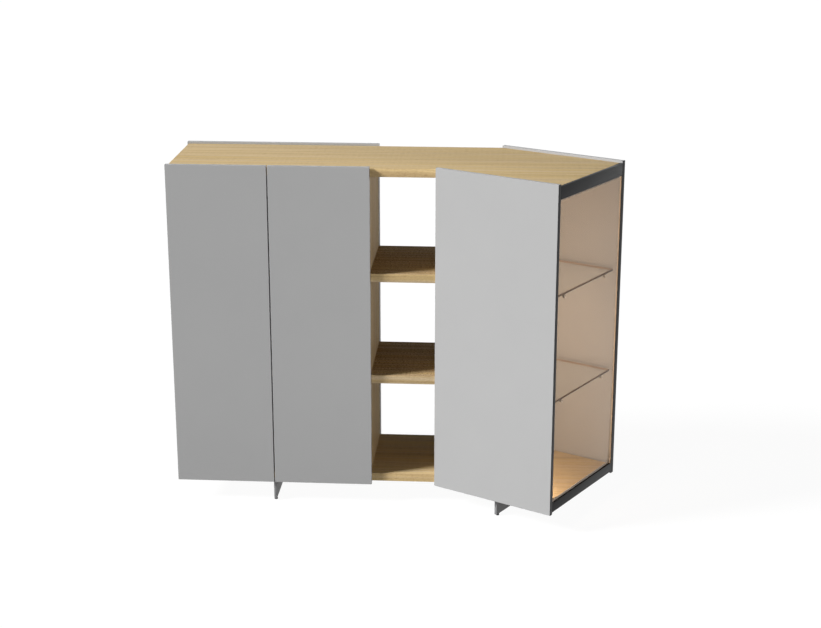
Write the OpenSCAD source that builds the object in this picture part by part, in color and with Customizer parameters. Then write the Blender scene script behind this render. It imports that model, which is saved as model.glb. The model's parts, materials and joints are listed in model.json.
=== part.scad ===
// Free-standing cupboard that bends in plan: a two-door unit, an open middle and a showcase unit
// turned towards the room, all held between one bent top board and one bent bottom board.
// Local frame of the drawing: X runs along the front of the two doors, Y goes back, Z goes up,
// and zero is the front bottom corner of the left door. place_whole() moves the finished pieces
// so that the origin is under the middle of the cupboard, on the floor.

/* [Doors and back panels] */
// Height of every door and back panel
panel_h = 1240; // [1100:10:1500]
// Thickness of the doors
panel_t = 16; // [15:1:20]
// Thickness of the back panels
back_t = 18; // [15:1:22]
// Joint between the carcass and the back panels
back_joint = 0.1; // [0.05:0.05:0.5]
// How far panels stand past the boards at top and bottom
panel_lip = 8; // [4:1:12]
// How far panels stand past the outer face of a side
overhang = 4; // [3:0.5:5]
// Gap between the two doors of the left unit
door_gap = 4; // [2:0.5:6]
// Gap between a closed door and the carcass behind it
front_gap = 4; // [4:0.5:6]
// Chamfer on the edges of doors and back panels
panel_ease = 0.8; // [0.5:0.1:1.5]

/* [Left unit and open middle] */
// Width across both left doors
left_w = 750; // [600:10:900]
// Depth of the left carcass, without doors and back panel
left_d = 410; // [350:10:460]
// Width of the open middle along its front
bay_w = 257; // [200:1:320]

/* [Showcase unit] */
// Angle by which the showcase unit is turned in plan
turn = 30; // [26:1:34]
// Width of the showcase door
right_w = 507; // [460:1:600]
// Depth of the showcase carcass, without door and back panel
right_d = 466; // [450:1:490]

/* [Boards] */
// Thickness of the top board and the bottom board
board_t = 32; // [25:1:40]
// Thickness of the open shelves
bay_shelf_t = 32; // [22:1:40]
// Thickness of the upright sides
side_t = 19; // [16:1:22]
// Thickness of the wooden shelves behind the doors
inner_shelf_t = 22; // [16:1:25]
// Distance from the carcass front to a wooden inner shelf
inner_shelf_in = 20; // [10:1:60]
// Gap between a loose shelf and the side beside it
shelf_gap = 2; // [1.6:0.1:3]

/* [Glass end and glass shelves] */
// Thickness of the glass pane in the end
pane_t = 6; // [5:0.5:6]
// Thickness of the metal rails and of the stile, across the pane
rail_t = 10; // [9:0.5:14]
// Height of the top rail
top_rail_h = 47; // [42:1:60]
// Height of the bottom rail
bottom_rail_h = 36; // [34:1:50]
// Width of the rear stile, seen from the end
stile_w = 4; // [3.5:0.5:12]
// How far the stile hooks round behind the pane's rear edge
stile_hook = 2; // [1:0.5:5]
// Wall of the hollow rails
rail_wall = 1.6; // [1.2:0.1:2]
// Depth to which the rails hold the pane
pane_seat = 10; // [8:0.5:14]
// Depth to which the stile holds the pane
stile_seat = 2.5; // [2:0.1:3]
// Joint line between a board's end and the rail
rail_joint = 0.5; // [0.3:0.1:1.5]
// Gap between the closed showcase door and the glass end
end_gap = 1.5; // [1:0.1:3]
// Thickness of the plastic caps on the rail ends
cap_t = 1.5; // [1:0.1:3]
// Height of the soft strips that seal the pane inside
seal_h = 8; // [5:0.5:12]
// Thickness of the soft strips
seal_t = 1.8; // [1.2:0.1:1.9]
// Thickness of the metal band on the free edges at the glass end
edge_band_t = 1.2; // [0.8:0.1:2]
// Thickness of the glass shelves
glass_shelf_t = 8; // [6:0.5:10]
// Distance from the carcass front to a glass shelf
glass_shelf_in = 3; // [2:1:20]
// Gap behind a glass shelf
glass_shelf_back = 30; // [10:1:60]

/* [Shelf supports] */
// Diameter of a shelf pin
pin_d = 5; // [4:0.5:6]
// Depth of a shelf pin in the side
pin_hole = 9; // [7:0.5:11]
// Length of a shelf pin under the shelf
pin_reach = 9; // [7:0.5:14]
// Diameter of the collar on a shelf pin
pin_collar_d = 11; // [9:0.5:14]
// Thickness of the collar on a shelf pin
pin_collar_t = 1.2; // [0.8:0.1:1.4]
// Distance from a shelf's front and back to its supports
pin_in = 60; // [40:1:100]
// Distance between two holes in a row of pin holes
row_pitch = 32; // [25:1:40]
// Spare pin holes above and below each pin of a wooden shelf
row_spares = 2; // [0:1:4]
// Diameter of a support bonded to the pane
bond_d = 14; // [10:0.5:20]
// Length of a support bonded to the pane
bond_l = 9; // [7:0.5:14]

/* [Feet] */
// Height of the doors' bottom edge above the floor
foot_drop = 82; // [55:1:120]
// Thickness of a blade foot
foot_t = 10; // [8:0.5:14]
// How far the left blade stands in front of its carcass, below the doors
left_foot_out = 7; // [0:0.5:18]
// Distance from the showcase carcass front to its blade
right_foot_in = 25; // [0:0.5:40]
// Distance from a carcass back to the rear end of its blade
foot_rear_in = 20; // [0:1:40]
// Gap between the doors and a blade's end below them
foot_door_gap = 3; // [2:0.5:8]
// Distance from a blade's ends to its flange
flange_in = 20; // [19:0.5:40]
// Width of the flange that screws to the bottom board
flange_w = 70; // [50:1:100]
// Thickness of the flange
flange_t = 4; // [3:0.5:6]
// Corner radius of the flange
flange_r = 10; // [4:1:20]
// Leg of the weld between a blade and its flange
weld = 4; // [2:0.5:8]
// Diameter of the round gliders under a blade
glider_d = 13; // [11:0.5:18]
// Height of a glider
glider_h = 6; // [3:0.5:10]
// Chamfer round a glider's lower edge
glider_ease = 1; // [0.5:0.1:2]
// Distance from a blade's ends to the middle of a glider
glider_in = 15; // [8:0.5:40]
// Diameter of a glider's stud in the blade
stud_d = 4; // [3:0.5:5]
// Length of a glider's stud in the blade
stud_l = 12; // [8:1:20]
// Shank diameter of the foot screws
screw_d = 5; // [4:0.5:6]
// Head diameter of the foot screws
screw_head_d = 10; // [9:0.5:13]
// Head height of the foot screws
screw_head_h = 2.5; // [2:0.5:4]
// Depth of the foot screws in the bottom board
screw_bite = 20; // [10:1:22]
// Distance from a flange's ends to its screws
screw_in = 25; // [15:1:60]

/* [Concealed hinges] */
// Diameter of the hinge cup
cup_d = 35; // [35:0.5:36]
// Depth of the hinge cup in the door
cup_depth = 11.5; // [11:0.1:12]
// Distance from the door edge to the cup
cup_edge = 3; // [2.5:0.1:3.5]
// Distance from the door edge to the pivot
pivot_in = 9; // [8.5:0.1:9.3]
// Distance from the door's back face to the pivot
pivot_deep = 7.9; // [7.6:0.1:8]
// Wall of the hinge arm's knuckle round the pin
knuckle_wall = 1.1; // [0.9:0.1:1.1]
// Floor of the hinge cup
cup_floor = 0.8; // [0.6:0.1:0.8]
// Diameter of the hinge pin
hinge_pin_d = 3; // [2.5:0.1:3.2]
// Length of the hinge pin
hinge_pin_l = 20; // [17:0.5:21]
// Width of the hinge arm
arm_w = 10; // [8:0.5:11]
// Thickness of the hinge arm's neck
arm_t = 2.5; // [2:0.1:2.8]
// Room beside the arm in the cup
arm_room = 1.5; // [1:0.1:2]
// Thickness of the arm's block on the mounting plate
arm_block_t = 6; // [5:0.5:9]
// Length over which the block slopes down to its rear end
arm_slope = 12; // [6:1:20]
// Distance from the carcass front to the mounting plate
plate_in = 8; // [4:1:12]
// Distance from the carcass front to the rear end of the arm
arm_reach = 60; // [50:1:80]
// Thickness of the mounting plate on the side
plate_t = 4; // [3:0.5:4.5]
// Height of the mounting plate's two wings
plate_h = 48; // [40:1:60]
// Width of the wings
plate_wing = 17; // [13:0.5:20]
// Distance from the door's ends to the outer hinges
hinge_in = 110; // [80:1:150]
// Thickness of the cup's flange on the door's back
cup_flange_t = 1.2; // [1:0.1:1.6]
// Height of the cup's flange
cup_flange_h = 56; // [50:1:64]
// Width of the cup's flange
cup_flange_w = 16; // [13:0.5:20]

/* [Push latches] */
// Diameter of the latch plunger
plunger_d = 8; // [6:0.5:10]
// Length of the latch plunger
plunger_l = 28; // [22:0.5:34]
// Travel of the latch plunger
plunger_travel = 3; // [2:0.5:4]
// Width and height of the latch housing
latch_w = 14; // [13:0.5:20]
// Length of the latch housing
latch_l = 62; // [55:1:80]
// Distance from a door's free edge to its latch
latch_in = 40; // [25:1:80]
// Width across the latch's two ears
ear_w = 38; // [32:1:50]
// Thickness of the ears
ear_t = 3; // [2:0.5:4]

/* [Fits] */
// Clearance round a pin or plunger that turns or slides, on the radius
run_fit = 0.05; // [0.02:0.01:0.08]
// Clearance between a seated piece and its seat
seat_fit = 0.1; // [0.05:0.01:0.2]
// Clearance between the pane and the walls of its groove
pane_fit = 0.2; // [0.1:0.05:0.3]
// Room behind a latch plunger that is pressed in
plunger_room = 1; // [0.5:0.5:2]
// Chamfer at the tip of a latch plunger
plunger_cone = 1.2; // [0.8:0.1:1.5]
// Distance from the carcass front to a latch housing
latch_set = 1; // [0.5:0.5:3]
// Gap between a latch plunger and the closed door
tip_gap = 0.3; // [0.2:0.05:0.5]

/* [Hidden] */
$fn = 24;

oak = "burlywood";
lacquer = "silver";
anthracite = "dimgray";
steel = "lightgray";
black = "black";
glass_tint = [0.72, 0.62, 0.52, 0.5];
glass_clear = [0.75, 0.85, 0.85, 0.5];
cut = 1; // how far a cutting body runs past the face that it cuts

// Heights
floor_z = panel_lip + board_t;
ceiling_z = panel_h - panel_lip - board_t;
inner_h = ceiling_z - floor_z;
clear_h = (inner_h - 2 * bay_shelf_t) / 3;
lower_top = floor_z + clear_h + bay_shelf_t;
upper_top = lower_top + clear_h + bay_shelf_t;
underside_z = panel_lip;

// Plan of the left unit
front_y = panel_t + front_gap;
left_back = front_y + left_d;
left_x0 = overhang;
left_x1 = left_w - overhang;
door_w = (left_w - door_gap) / 2;
side_in = overhang + side_t;

// Plan of the showcase unit: s runs along its front and w goes back, from the door's corner
along = [cos(turn), -sin(turn)];
inward = [sin(turn), cos(turn)];
bend_front = [left_x1 + bay_w, front_y];
corner = bend_front - overhang * along - front_y * inward;
right_back = front_y + right_d;
bend_s = (corner.y + right_back * inward.y - left_back) / sin(turn);
rail_s = right_w - rail_t;
board_end_s = rail_s - rail_joint;
pane_s = right_w - (rail_t + pane_t) / 2;
end_w0 = panel_t + end_gap;
stile_w0 = right_back - stile_w;
function right_point(s, w) = corner + s * along + w * inward;

// Middle of the whole cupboard in plan
left_panel_y = left_back + back_joint;
right_panel_w = right_back + back_joint;
far_x = right_point(right_w, right_panel_w + back_t).x;
near_y = right_point(right_w, 0).y;
far_y = max(left_panel_y + back_t, right_point(bend_s, right_panel_w + back_t).y);
middle = [far_x / 2, (near_y + far_y) / 2];

// Rails and pane
top_rail_z = panel_h - panel_lip - top_rail_h;
bottom_rail_top = panel_lip + bottom_rail_h;
groove_w = pane_t + 2 * pane_fit;
pane_z0 = bottom_rail_top - pane_seat + seat_fit;
pane_z1 = top_rail_z + pane_seat - seat_fit;

// Loose shelves and their supports
glass_s0 = side_in + shelf_gap;
glass_s1 = pane_s - shelf_gap;
glass_w0 = front_y + glass_shelf_in;
glass_w1 = right_back - glass_shelf_back;
inner_y0 = front_y + inner_shelf_in;
inner_y1 = left_back - seat_fit;
inner_rows = [inner_y0 + pin_in, inner_y1 - pin_in];
glass_rows = [glass_w0 + pin_in, glass_w1 - pin_in];
shelf_tops = [lower_top, upper_top];

// Hinges, in the door's own corner frame
hinge_heights = [hinge_in, panel_h / 2, panel_h - hinge_in];
pivot_w = panel_t - pivot_deep;
cup_s = cup_edge + cup_d / 2;
wing_s = cup_s + cup_flange_w / 4;
wing_z = (cup_flange_h - cup_flange_w) / 2;
pocket_h = arm_w + 2 * arm_room;
knuckle_r = hinge_pin_d / 2 + knuckle_wall;
pocket_s0 = pivot_in - knuckle_r - 0.5 * knuckle_wall;
pocket_s1 = cup_edge + cup_d - 2 * knuckle_wall;
arm_s0 = side_in + plate_t;
plate_w0 = front_y + plate_in;
plate_l = arm_reach - plate_in;

// Latches
latch_z = ceiling_z - latch_w / 2;
latch_w0 = front_y + latch_set;
plunger_w0 = panel_t + tip_gap;
plunger_bore = plunger_w0 + plunger_l + plunger_travel + plunger_room - latch_w0;

// Feet
left_foot_x = left_w / 2;
right_foot_s = rail_s / 2;
foot_top = underside_z - flange_t;
foot_low = glider_h - foot_drop;
left_foot_from = front_y - left_foot_out;
left_foot_l = left_back - foot_rear_in - left_foot_from;
right_foot_from = front_y + right_foot_in;
right_foot_l = right_back - foot_rear_in - right_foot_from;
screw_out = (foot_t + flange_w) / 4;

module place_whole() { translate([-middle.x, -middle.y, foot_drop]) children(); }

module on_showcase() { place_whole() translate([corner.x, corner.y, 0]) rotate([0, 0, -turn]) children(); }

module on_right_door() { place_whole() translate([left_w, 0, 0]) mirror([1, 0, 0]) children(); }

// Box from one corner to the other
module box(from, to) { translate(from) cube(to - from); }

// Round bar along the width
module bar_across(d, from, length) { translate(from) rotate([0, 90, 0]) cylinder(d = d, h = length); }

// Round bar going back
module bar_back(d, from, length) { translate(from) rotate([-90, 0, 0]) cylinder(d = d, h = length); }

// Panel with chamfered edges, from one corner to the other
module eased_panel(from, to) {
    e = panel_ease;
    size = to - from;
    translate(from) hull() {
        translate([0, e, e]) cube([size.x, size.y - 2 * e, size.z - 2 * e]);
        translate([e, 0, e]) cube([size.x - 2 * e, size.y, size.z - 2 * e]);
        translate([e, e, 0]) cube([size.x - 2 * e, size.y - 2 * e, size.z]);
    }
}

// Boards and sides

module bent_outline() {
    polygon([
        [left_x0, front_y], bend_front, right_point(board_end_s, front_y),
        right_point(board_end_s, right_back), right_point(bend_s, right_back), [left_x0, left_back]
    ]);
}

module bent_board(z) { translate([0, 0, z]) linear_extrude(board_t) bent_outline(); }

module top_board() { color(oak) place_whole() bent_board(ceiling_z); }

module bottom_board() {
    color(oak) difference() {
        place_whole() bent_board(underside_z);
        place_whole() left_screw_places() screw_hole();
        on_showcase() right_screw_places() screw_hole();
    }
}

// Side board with the rows of holes for its shelf pins, which enter from the inner face
module side_board(depth, rows, undersides, spares) {
    difference() {
        box([overhang, front_y, floor_z], [side_in, front_y + depth, ceiling_z]);
        for (w = rows, z = undersides, step = [-spares:spares]) bar_across(
            pin_d + 2 * run_fit, [side_in - pin_hole, w, z - pin_z_drop() + step * row_pitch], pin_hole + cut
        );
    }
}

// Distance from a shelf's underside down to the middle of its pins
function pin_z_drop() = pin_d / 2 + seat_fit;
function inner_undersides() = [for (z = shelf_tops) z - inner_shelf_t];
function glass_undersides() = [for (z = shelf_tops) z - glass_shelf_t];

module left_unit_side() { side_board(left_d, inner_rows, inner_undersides(), row_spares); }

module left_side() { color(oak) place_whole() left_unit_side(); }

module bay_left_side() { color(oak) on_right_door() left_unit_side(); }

module bay_right_side() { color(oak) on_showcase() side_board(right_d, glass_rows, glass_undersides(), 0); }

// The part of the bent outline that lies between the two sides of the open middle
module bay_outline() {
    intersection() {
        bent_outline();
        translate([left_x1 + seat_fit, -far_x]) square([far_x, 2 * far_x]);
        translate(corner) rotate(-turn) translate([overhang - seat_fit - far_x, -far_x]) square([far_x, 2 * far_x]);
    }
}

module bay_shelf(top) {
    color(oak) place_whole() translate([0, 0, top - bay_shelf_t]) linear_extrude(bay_shelf_t) bay_outline();
}

module bay_shelf_upper() { bay_shelf(upper_top); }

module bay_shelf_lower() { bay_shelf(lower_top); }

module left_back_panel() {
    color(lacquer) place_whole() eased_panel([0, left_panel_y, 0], [left_w, left_panel_y + back_t, panel_h]);
}

module right_back_panel() {
    color(lacquer) on_showcase()
        eased_panel([bend_s, right_panel_w, 0], [right_w - edge_band_t, right_panel_w + back_t, panel_h]);
}

// Metal band on a free edge at the glass end
module edge_band(w, t) { box([right_w - edge_band_t, w, 0], [right_w, w + t, panel_h]); }

module right_back_edge() { color(anthracite) on_showcase() edge_band(right_panel_w, back_t); }

// Loose shelves

module inner_shelf(top) {
    color(oak) place_whole() box(
        [side_in + shelf_gap, inner_y0, top - inner_shelf_t], [left_w - side_in - shelf_gap, inner_y1, top]
    );
}

module inner_shelf_upper() { inner_shelf(upper_top); }

module inner_shelf_lower() { inner_shelf(lower_top); }

module glass_shelf(top) {
    color(glass_clear) on_showcase() box([glass_s0, glass_w0, top - glass_shelf_t], [glass_s1, glass_w1, top]);
}

module glass_shelf_upper() { glass_shelf(upper_top); }

module glass_shelf_lower() { glass_shelf(lower_top); }

// Pin in a side: shank in the hole, collar on the face, and the end that carries the shelf
module shelf_pin(w, z) {
    bar_across(pin_d, [side_in - pin_hole + seat_fit, w, z], pin_hole - seat_fit + pin_reach);
    bar_across(pin_collar_d, [side_in, w, z], pin_collar_t);
}

module shelf_pins(rows, undersides) {
    for (w = rows, z = undersides) shelf_pin(w, z - pin_z_drop());
}

module inner_shelf_pins() {
    color(steel) {
        place_whole() shelf_pins(inner_rows, inner_undersides());
        on_right_door() shelf_pins(inner_rows, inner_undersides());
    }
}

module glass_shelf_pins() { color(steel) on_showcase() shelf_pins(glass_rows, glass_undersides()); }

module glass_shelf_bonds() {
    color(steel) on_showcase() for (w = glass_rows, z = glass_undersides())
        bar_across(bond_d, [pane_s - bond_l, w, z - bond_d / 2 - seat_fit], bond_l);
}

// Glass end

module end_pane() {
    color(glass_tint) on_showcase()
        box([pane_s, end_w0, pane_z0], [pane_s + pane_t, stile_w0 + stile_seat - seat_fit, pane_z1]);
}

// Section of a hollow rail with its groove at the top, outer face at the right
module rail_section(h) {
    chamber_h = h - pane_seat - 2 * rail_wall;
    difference() {
        square([rail_t, h]);
        translate([(rail_t - groove_w) / 2, h - pane_seat]) square([groove_w, pane_seat + cut]);
        translate([rail_wall, rail_wall]) square([rail_t - 2 * rail_wall, chamber_h]);
    }
}

// Extrusion that goes back from one depth to another
module run_back(from, to) { translate([0, to, 0]) rotate([90, 0, 0]) linear_extrude(to - from) children(); }

module end_rail_top() {
    color(anthracite) on_showcase() translate([rail_s, 0, panel_h - panel_lip])
        run_back(end_w0 + cap_t, right_back - cap_t) mirror([0, 1]) rail_section(top_rail_h);
}

module end_rail_bottom() {
    color(anthracite) on_showcase() translate([rail_s, 0, panel_lip])
        run_back(end_w0 + cap_t, right_back - cap_t) rail_section(bottom_rail_h);
}

// Angle that covers the pane's rear edge from outside and hooks round behind it
module end_stile() {
    color(anthracite) on_showcase() difference() {
        box([pane_s + pane_t - stile_hook, stile_w0, bottom_rail_top], [right_w, right_back, top_rail_z]);
        box(
            [pane_s, stile_w0 - cut, bottom_rail_top - cut],
            [pane_s + pane_t + pane_fit, stile_w0 + stile_seat, top_rail_z + cut]
        );
    }
}

// Cap on the end of a rail, cut out where the pane runs through
module rail_cap(w, from_z, to_z, slot_z0, slot_z1) {
    difference() {
        box([rail_s, w, from_z], [right_w, w + cap_t, to_z]);
        box(
            [rail_s + (rail_t - groove_w) / 2, w - cut, slot_z0],
            [rail_s + (rail_t + groove_w) / 2, w + cap_t + cut, slot_z1]
        );
    }
}

module rail_end_caps() {
    color(black) on_showcase() for (w = [end_w0, right_back - cap_t]) {
        rail_cap(w, panel_lip, bottom_rail_top, bottom_rail_top - pane_seat, bottom_rail_top + cut);
        rail_cap(w, top_rail_z, panel_h - panel_lip, top_rail_z - cut, top_rail_z + pane_seat);
    }
}

// Soft strip against the inner face of the pane
module pane_seal(z) { box([pane_s - seal_t, front_y, z], [pane_s, right_back, z + seal_h]); }

module pane_seal_top() { color(steel) on_showcase() pane_seal(top_rail_z - seal_h); }

module pane_seal_bottom() { color(steel) on_showcase() pane_seal(bottom_rail_top); }

// Feet

// Blade seen from the side: its ends are lower, so that the left one passes below the doors
module blade_side(from, length) {
    to = from + length;
    polygon([
        [from, foot_low], [to, foot_low], [to, -foot_door_gap], [to - flange_in, -foot_door_gap],
        [to - flange_in, foot_top], [from + flange_in, foot_top], [from + flange_in, -foot_door_gap],
        [from, -foot_door_gap]
    ]);
}

// Section across a flange and the welds under it
module flange_section() {
    blade_x = foot_t / 2;
    polygon([
        [-blade_x, foot_top - weld], [blade_x, foot_top - weld], [blade_x + weld, foot_top],
        [flange_w / 2, foot_top], [flange_w / 2, underside_z], [-flange_w / 2, underside_z],
        [-flange_w / 2, foot_top], [-blade_x - weld, foot_top]
    ]);
}

// Plan of a flange with its round corners
module flange_plan(from, length) {
    straight = flange_w / 2 - flange_r;
    for (x = [-straight, straight], y = [from + flange_r, from + length - flange_r])
        translate([x, y]) circle(r = flange_r);
    translate([-straight, from]) square([2 * straight, length]);
    translate([-flange_w / 2, from + flange_r]) square([flange_w, length - 2 * flange_r]);
}

module flange_body(from, length) {
    intersection() {
        run_back(from, from + length) flange_section();
        translate([0, 0, foot_top - weld - cut]) linear_extrude(flange_t + weld + 2 * cut) flange_plan(from, length);
    }
}

// Foot drawn on its middle line: blade, welds and flange, with the holes of its screws and studs
module blade_foot(from, length) {
    difference() {
        union() {
            translate([-foot_t / 2, 0, 0]) rotate([90, 0, 90]) linear_extrude(foot_t) blade_side(from, length);
            flange_body(from + flange_in, length - 2 * flange_in);
        }
        screw_places(from, length) translate([0, 0, foot_top - cut])
            cylinder(d = screw_d + 2 * run_fit, h = flange_t + 2 * cut);
        glider_places(from, length) translate([0, 0, foot_low - cut])
            cylinder(d = stud_d + 2 * run_fit, h = stud_l + seat_fit + cut);
    }
}

// The four screws of a foot, seen from its middle line
module screw_places(from, length) {
    end = flange_in + screw_in;
    for (x = [-screw_out, screw_out], y = [from + end, from + length - end]) translate([x, y, 0]) children();
}

// The two gliders of a foot
module glider_places(from, length) {
    for (y = [from + glider_in, from + length - glider_in]) translate([0, y, 0]) children();
}

module left_screw_places() {
    translate([left_foot_x, 0, 0]) screw_places(left_foot_from, left_foot_l) children();
}

module right_screw_places() {
    translate([right_foot_s, 0, 0]) screw_places(right_foot_from, right_foot_l) children();
}

module screw_hole() {
    translate([0, 0, underside_z - cut]) cylinder(d = screw_d + 2 * run_fit, h = screw_bite + seat_fit + cut);
}

module foot_screw() {
    translate([0, 0, foot_top - screw_head_h]) cylinder(d = screw_head_d, h = screw_head_h);
    translate([0, 0, foot_top - seat_fit]) cylinder(d = screw_d, h = seat_fit + flange_t + screw_bite);
}

// Round pad with a chamfered lower edge and the stud that holds it in the blade
module glider() {
    translate([0, 0, -foot_drop]) {
        cylinder(d1 = glider_d - 2 * glider_ease, d2 = glider_d, h = glider_ease);
        translate([0, 0, glider_ease]) cylinder(d = glider_d, h = glider_h - glider_ease);
        translate([0, 0, glider_ease]) cylinder(d = stud_d, h = glider_h - glider_ease + stud_l);
    }
}

module left_foot() {
    color(lacquer) place_whole() translate([left_foot_x, 0, 0]) blade_foot(left_foot_from, left_foot_l);
}

module right_foot() {
    color(lacquer) on_showcase() translate([right_foot_s, 0, 0]) blade_foot(right_foot_from, right_foot_l);
}

module left_gliders() {
    color(black) place_whole() translate([left_foot_x, 0, 0])
        glider_places(left_foot_from, left_foot_l) glider();
}

module right_gliders() {
    color(black) on_showcase() translate([right_foot_s, 0, 0])
        glider_places(right_foot_from, right_foot_l) glider();
}

module left_foot_screws() { color(steel) place_whole() left_screw_places() foot_screw(); }

module right_foot_screws() { color(steel) on_showcase() right_screw_places() foot_screw(); }

// Doors, drawn with the hinge edge at zero and the width along X

module door_leaf(width) {
    difference() {
        eased_panel([0, 0, 0], [width, panel_t, panel_h]);
        for (z = hinge_heights)
            bar_back(cup_d + 2 * run_fit, [cup_s, panel_t - cup_depth - seat_fit, z], cup_depth + seat_fit + cut);
    }
}

// Cup with its flange, the pocket for the arm and the bore of the pin
module hinge_cup() {
    difference() {
        union() {
            bar_back(cup_d, [cup_s, panel_t - cup_depth, 0], cup_depth + cup_flange_t);
            translate([wing_s - cup_flange_w / 2, panel_t, -wing_z])
                cube([cup_flange_w, cup_flange_t, 2 * wing_z]);
            for (z = [-wing_z, wing_z]) bar_back(cup_flange_w, [wing_s, panel_t, z], cup_flange_t);
        }
        box(
            [pocket_s0, panel_t - cup_depth + cup_floor, -pocket_h / 2],
            [pocket_s1, panel_t + cup_flange_t + cut, pocket_h / 2]
        );
        hinge_bar(hinge_pin_d + 2 * run_fit, hinge_pin_l + 2 * seat_fit);
    }
}

// Upright bar on the pivot
module hinge_bar(d, length) { translate([pivot_in, pivot_w, -length / 2]) cylinder(d = d, h = length); }

// Arm: knuckle on the pin, neck inside the cup, leg out of the cup, block along the side
module hinge_arm() {
    difference() {
        translate([0, 0, -arm_w / 2]) linear_extrude(arm_w) {
            translate([pivot_in, pivot_w]) circle(r = knuckle_r);
            translate([pivot_in, pivot_w - arm_t / 2]) square([arm_s0 + arm_t - pivot_in, arm_t]);
            translate([arm_s0, pivot_w - arm_t / 2]) square([arm_t, front_y - pivot_w + arm_t]);
            translate([arm_s0, front_y]) polygon([
                [0, 0], [arm_block_t, 0], [arm_block_t, arm_reach - arm_slope], [arm_t, arm_reach], [0, arm_reach]
            ]);
        }
        hinge_bar(hinge_pin_d + 2 * run_fit, arm_w + 2 * cut);
    }
}

// Mounting plate with two round-ended wings
module hinge_plate() {
    reach = (plate_h - plate_wing) / 2;
    middle_w = plate_w0 + plate_l / 2;
    translate([side_in, plate_w0, -arm_w]) cube([plate_t, plate_l, 2 * arm_w]);
    translate([side_in, middle_w - plate_wing / 2, -reach]) cube([plate_t, plate_wing, 2 * reach]);
    for (z = [-reach, reach]) bar_across(plate_wing, [side_in, middle_w, z], plate_t);
}

module at_hinges() { for (z = hinge_heights) translate([0, 0, z]) children(); }

module left_door() { color(lacquer) place_whole() door_leaf(door_w); }

module right_door() { color(lacquer) on_right_door() door_leaf(door_w); }

module showcase_door() { color(lacquer) on_showcase() door_leaf(right_w - edge_band_t); }

module showcase_door_edge() { color(anthracite) on_showcase() edge_band(0, panel_t); }

module left_cups() { color(steel) place_whole() at_hinges() hinge_cup(); }

module right_cups() { color(steel) on_right_door() at_hinges() hinge_cup(); }

module showcase_cups() { color(steel) on_showcase() at_hinges() hinge_cup(); }

module left_hinge_pins() { color(steel) place_whole() at_hinges() hinge_bar(hinge_pin_d, hinge_pin_l); }

module right_hinge_pins() { color(steel) on_right_door() at_hinges() hinge_bar(hinge_pin_d, hinge_pin_l); }

module showcase_hinge_pins() { color(steel) on_showcase() at_hinges() hinge_bar(hinge_pin_d, hinge_pin_l); }

module left_arms() { color(steel) place_whole() at_hinges() hinge_arm(); }

module right_arms() { color(steel) on_right_door() at_hinges() hinge_arm(); }

module showcase_arms() { color(steel) on_showcase() at_hinges() hinge_arm(); }

module left_plates() { color(steel) place_whole() at_hinges() hinge_plate(); }

module right_plates() { color(steel) on_right_door() at_hinges() hinge_plate(); }

module showcase_plates() { color(steel) on_showcase() at_hinges() hinge_plate(); }

// Push latches under the top board, drawn at the door's free edge

// Round-ended ears under the top board, in the middle of the housing's length
module latch_ears() {
    reach = (ear_w - latch_w) / 2;
    translate([0, latch_w0 + latch_l / 2, ceiling_z - ear_t]) linear_extrude(ear_t) {
        for (x = [-reach, reach]) translate([x, 0]) circle(d = latch_w);
        translate([-reach, -latch_w / 2]) square([2 * reach, latch_w]);
    }
}

module latch_housing() {
    difference() {
        union() {
            translate([-latch_w / 2, latch_w0, latch_z - latch_w / 2]) cube([latch_w, latch_l, latch_w]);
            latch_ears();
        }
        bar_back(plunger_d + 2 * run_fit, [0, latch_w0 - cut, latch_z], plunger_bore + cut);
    }
}

module plunger() {
    translate([0, plunger_w0, latch_z]) rotate([-90, 0, 0]) {
        cylinder(d1 = plunger_d - 2 * plunger_cone, d2 = plunger_d, h = plunger_cone);
        translate([0, 0, plunger_cone]) cylinder(d = plunger_d, h = plunger_l - plunger_cone);
    }
}

module at_latch(width) { translate([width - latch_in, 0, 0]) children(); }

module left_latch() { color(lacquer) place_whole() at_latch(door_w) latch_housing(); }

module left_plunger() { color(black) place_whole() at_latch(door_w) plunger(); }

module right_latch() { color(lacquer) on_right_door() at_latch(door_w) latch_housing(); }

module right_plunger() { color(black) on_right_door() at_latch(door_w) plunger(); }

module showcase_latch() { color(lacquer) on_showcase() at_latch(right_w) latch_housing(); }

module showcase_plunger() { color(black) on_showcase() at_latch(right_w) plunger(); }

top_board();
bottom_board();
left_side();
bay_left_side();
bay_right_side();
bay_shelf_upper();
bay_shelf_lower();
left_back_panel();
right_back_panel();
right_back_edge();
inner_shelf_upper();
inner_shelf_lower();
inner_shelf_pins();
end_pane();
end_rail_top();
end_rail_bottom();
end_stile();
rail_end_caps();
pane_seal_top();
pane_seal_bottom();
glass_shelf_upper();
glass_shelf_lower();
glass_shelf_pins();
glass_shelf_bonds();
left_foot();
right_foot();
left_gliders();
right_gliders();
left_foot_screws();
right_foot_screws();
left_door();
left_cups();
left_hinge_pins();
left_arms();
left_plates();
right_door();
right_cups();
right_hinge_pins();
right_arms();
right_plates();
showcase_door();
showcase_door_edge();
showcase_cups();
showcase_hinge_pins();
showcase_arms();
showcase_plates();
left_latch();
left_plunger();
right_latch();
right_plunger();
showcase_latch();
showcase_plunger();
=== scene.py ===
# %% [markdown]
# # A cupboard that bends in plan
#
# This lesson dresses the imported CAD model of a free-standing cupboard. Two grey doors stand on the
# left, an open middle with oak shelves joins on, and a showcase with one wide door and a glass end
# is turned towards the room. The CAD model is a fixed frame: each piece made here goes where the
# frame says, and each CAD part that stays gets a finish of its own.

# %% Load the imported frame
import json

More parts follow.
